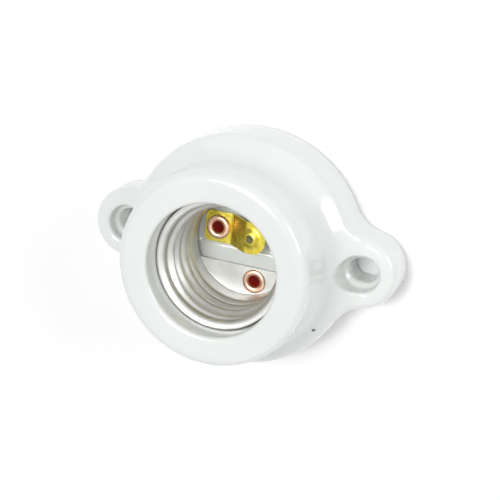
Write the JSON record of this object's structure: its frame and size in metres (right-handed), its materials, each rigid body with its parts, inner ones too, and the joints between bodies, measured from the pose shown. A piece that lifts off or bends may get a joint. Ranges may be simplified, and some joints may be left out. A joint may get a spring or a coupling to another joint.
{
  "type": "lamp holder",
  "caption": "Glazed porcelain screw-shell lamp holder, round body with slotted ears for fixing to a wall or ceiling.",
  "frame": {"origin": "centre of the flat back face that lies on the wall or ceiling", "axes": "+Z runs along the socket's axis and out of its mouth, +X runs along the line through the two mounting ears"},
  "size_m": [0.0726, 0.0532, 0.028],
  "materials": {
    "porcelain": "gloss",
    "nickel_shell": "satin",
    "copper": "satin",
    "brass": "satin",
    "zinc_steel": "satin"
  },
  "bodies": {
    "holder": {"porcelain_body": "porcelain", "screw_shell": "nickel_shell", "shell_rivet": "copper", "contact_rivet": "copper", "shell_terminal": "brass", "contact_terminal": "brass"},
    "contact_tongue": {"contact_spring": "brass"},
    "shell_clamp": {"shell_clamp_washer": "zinc_steel"},
    "shell_screw": {"shell_terminal_screw": "zinc_steel"},
    "contact_clamp": {"contact_clamp_washer": "zinc_steel"},
    "contact_screw": {"contact_terminal_screw": "zinc_steel"}
  },
  "joints": [
    {"name": "contact_flex", "type": "hinge", "parent": "holder", "child": "contact_tongue", "pos_m": [-0.0039, 0.0025, 0.00485], "axis": [0, 1, 0], "range_deg": [0, 14], "stiffness_Nm_per_rad": 0.15, "deforming": ["contact_spring"]},
    {"name": "shell_clamp_travel", "type": "slide", "parent": "holder", "child": "shell_clamp", "axis": [0, 0, -1], "range_m": [0, 0.0015]},
    {"name": "shell_screw_turn", "type": "hinge", "parent": "shell_clamp", "child": "shell_screw", "pos_m": [0.0027, -0.0208, 0.0032], "axis": [0, 0, -1], "range_deg": [0, 1080]},
    {"name": "contact_clamp_travel", "type": "slide", "parent": "holder", "child": "contact_clamp", "axis": [0, 0, -1], "range_m": [0, 0.0015]},
    {"name": "contact_screw_turn", "type": "hinge", "parent": "contact_clamp", "child": "contact_screw", "pos_m": [-0.0022, 0.0208, 0.0032], "axis": [0, 0, -1], "range_deg": [0, 1080]}
  ],
  "couplings": [
    {"joint": "shell_screw_turn", "follows": "shell_clamp_travel", "rad_per_m": 12566},
    {"joint": "contact_screw_turn", "follows": "contact_clamp_travel", "rad_per_m": 12566}
  ]
}
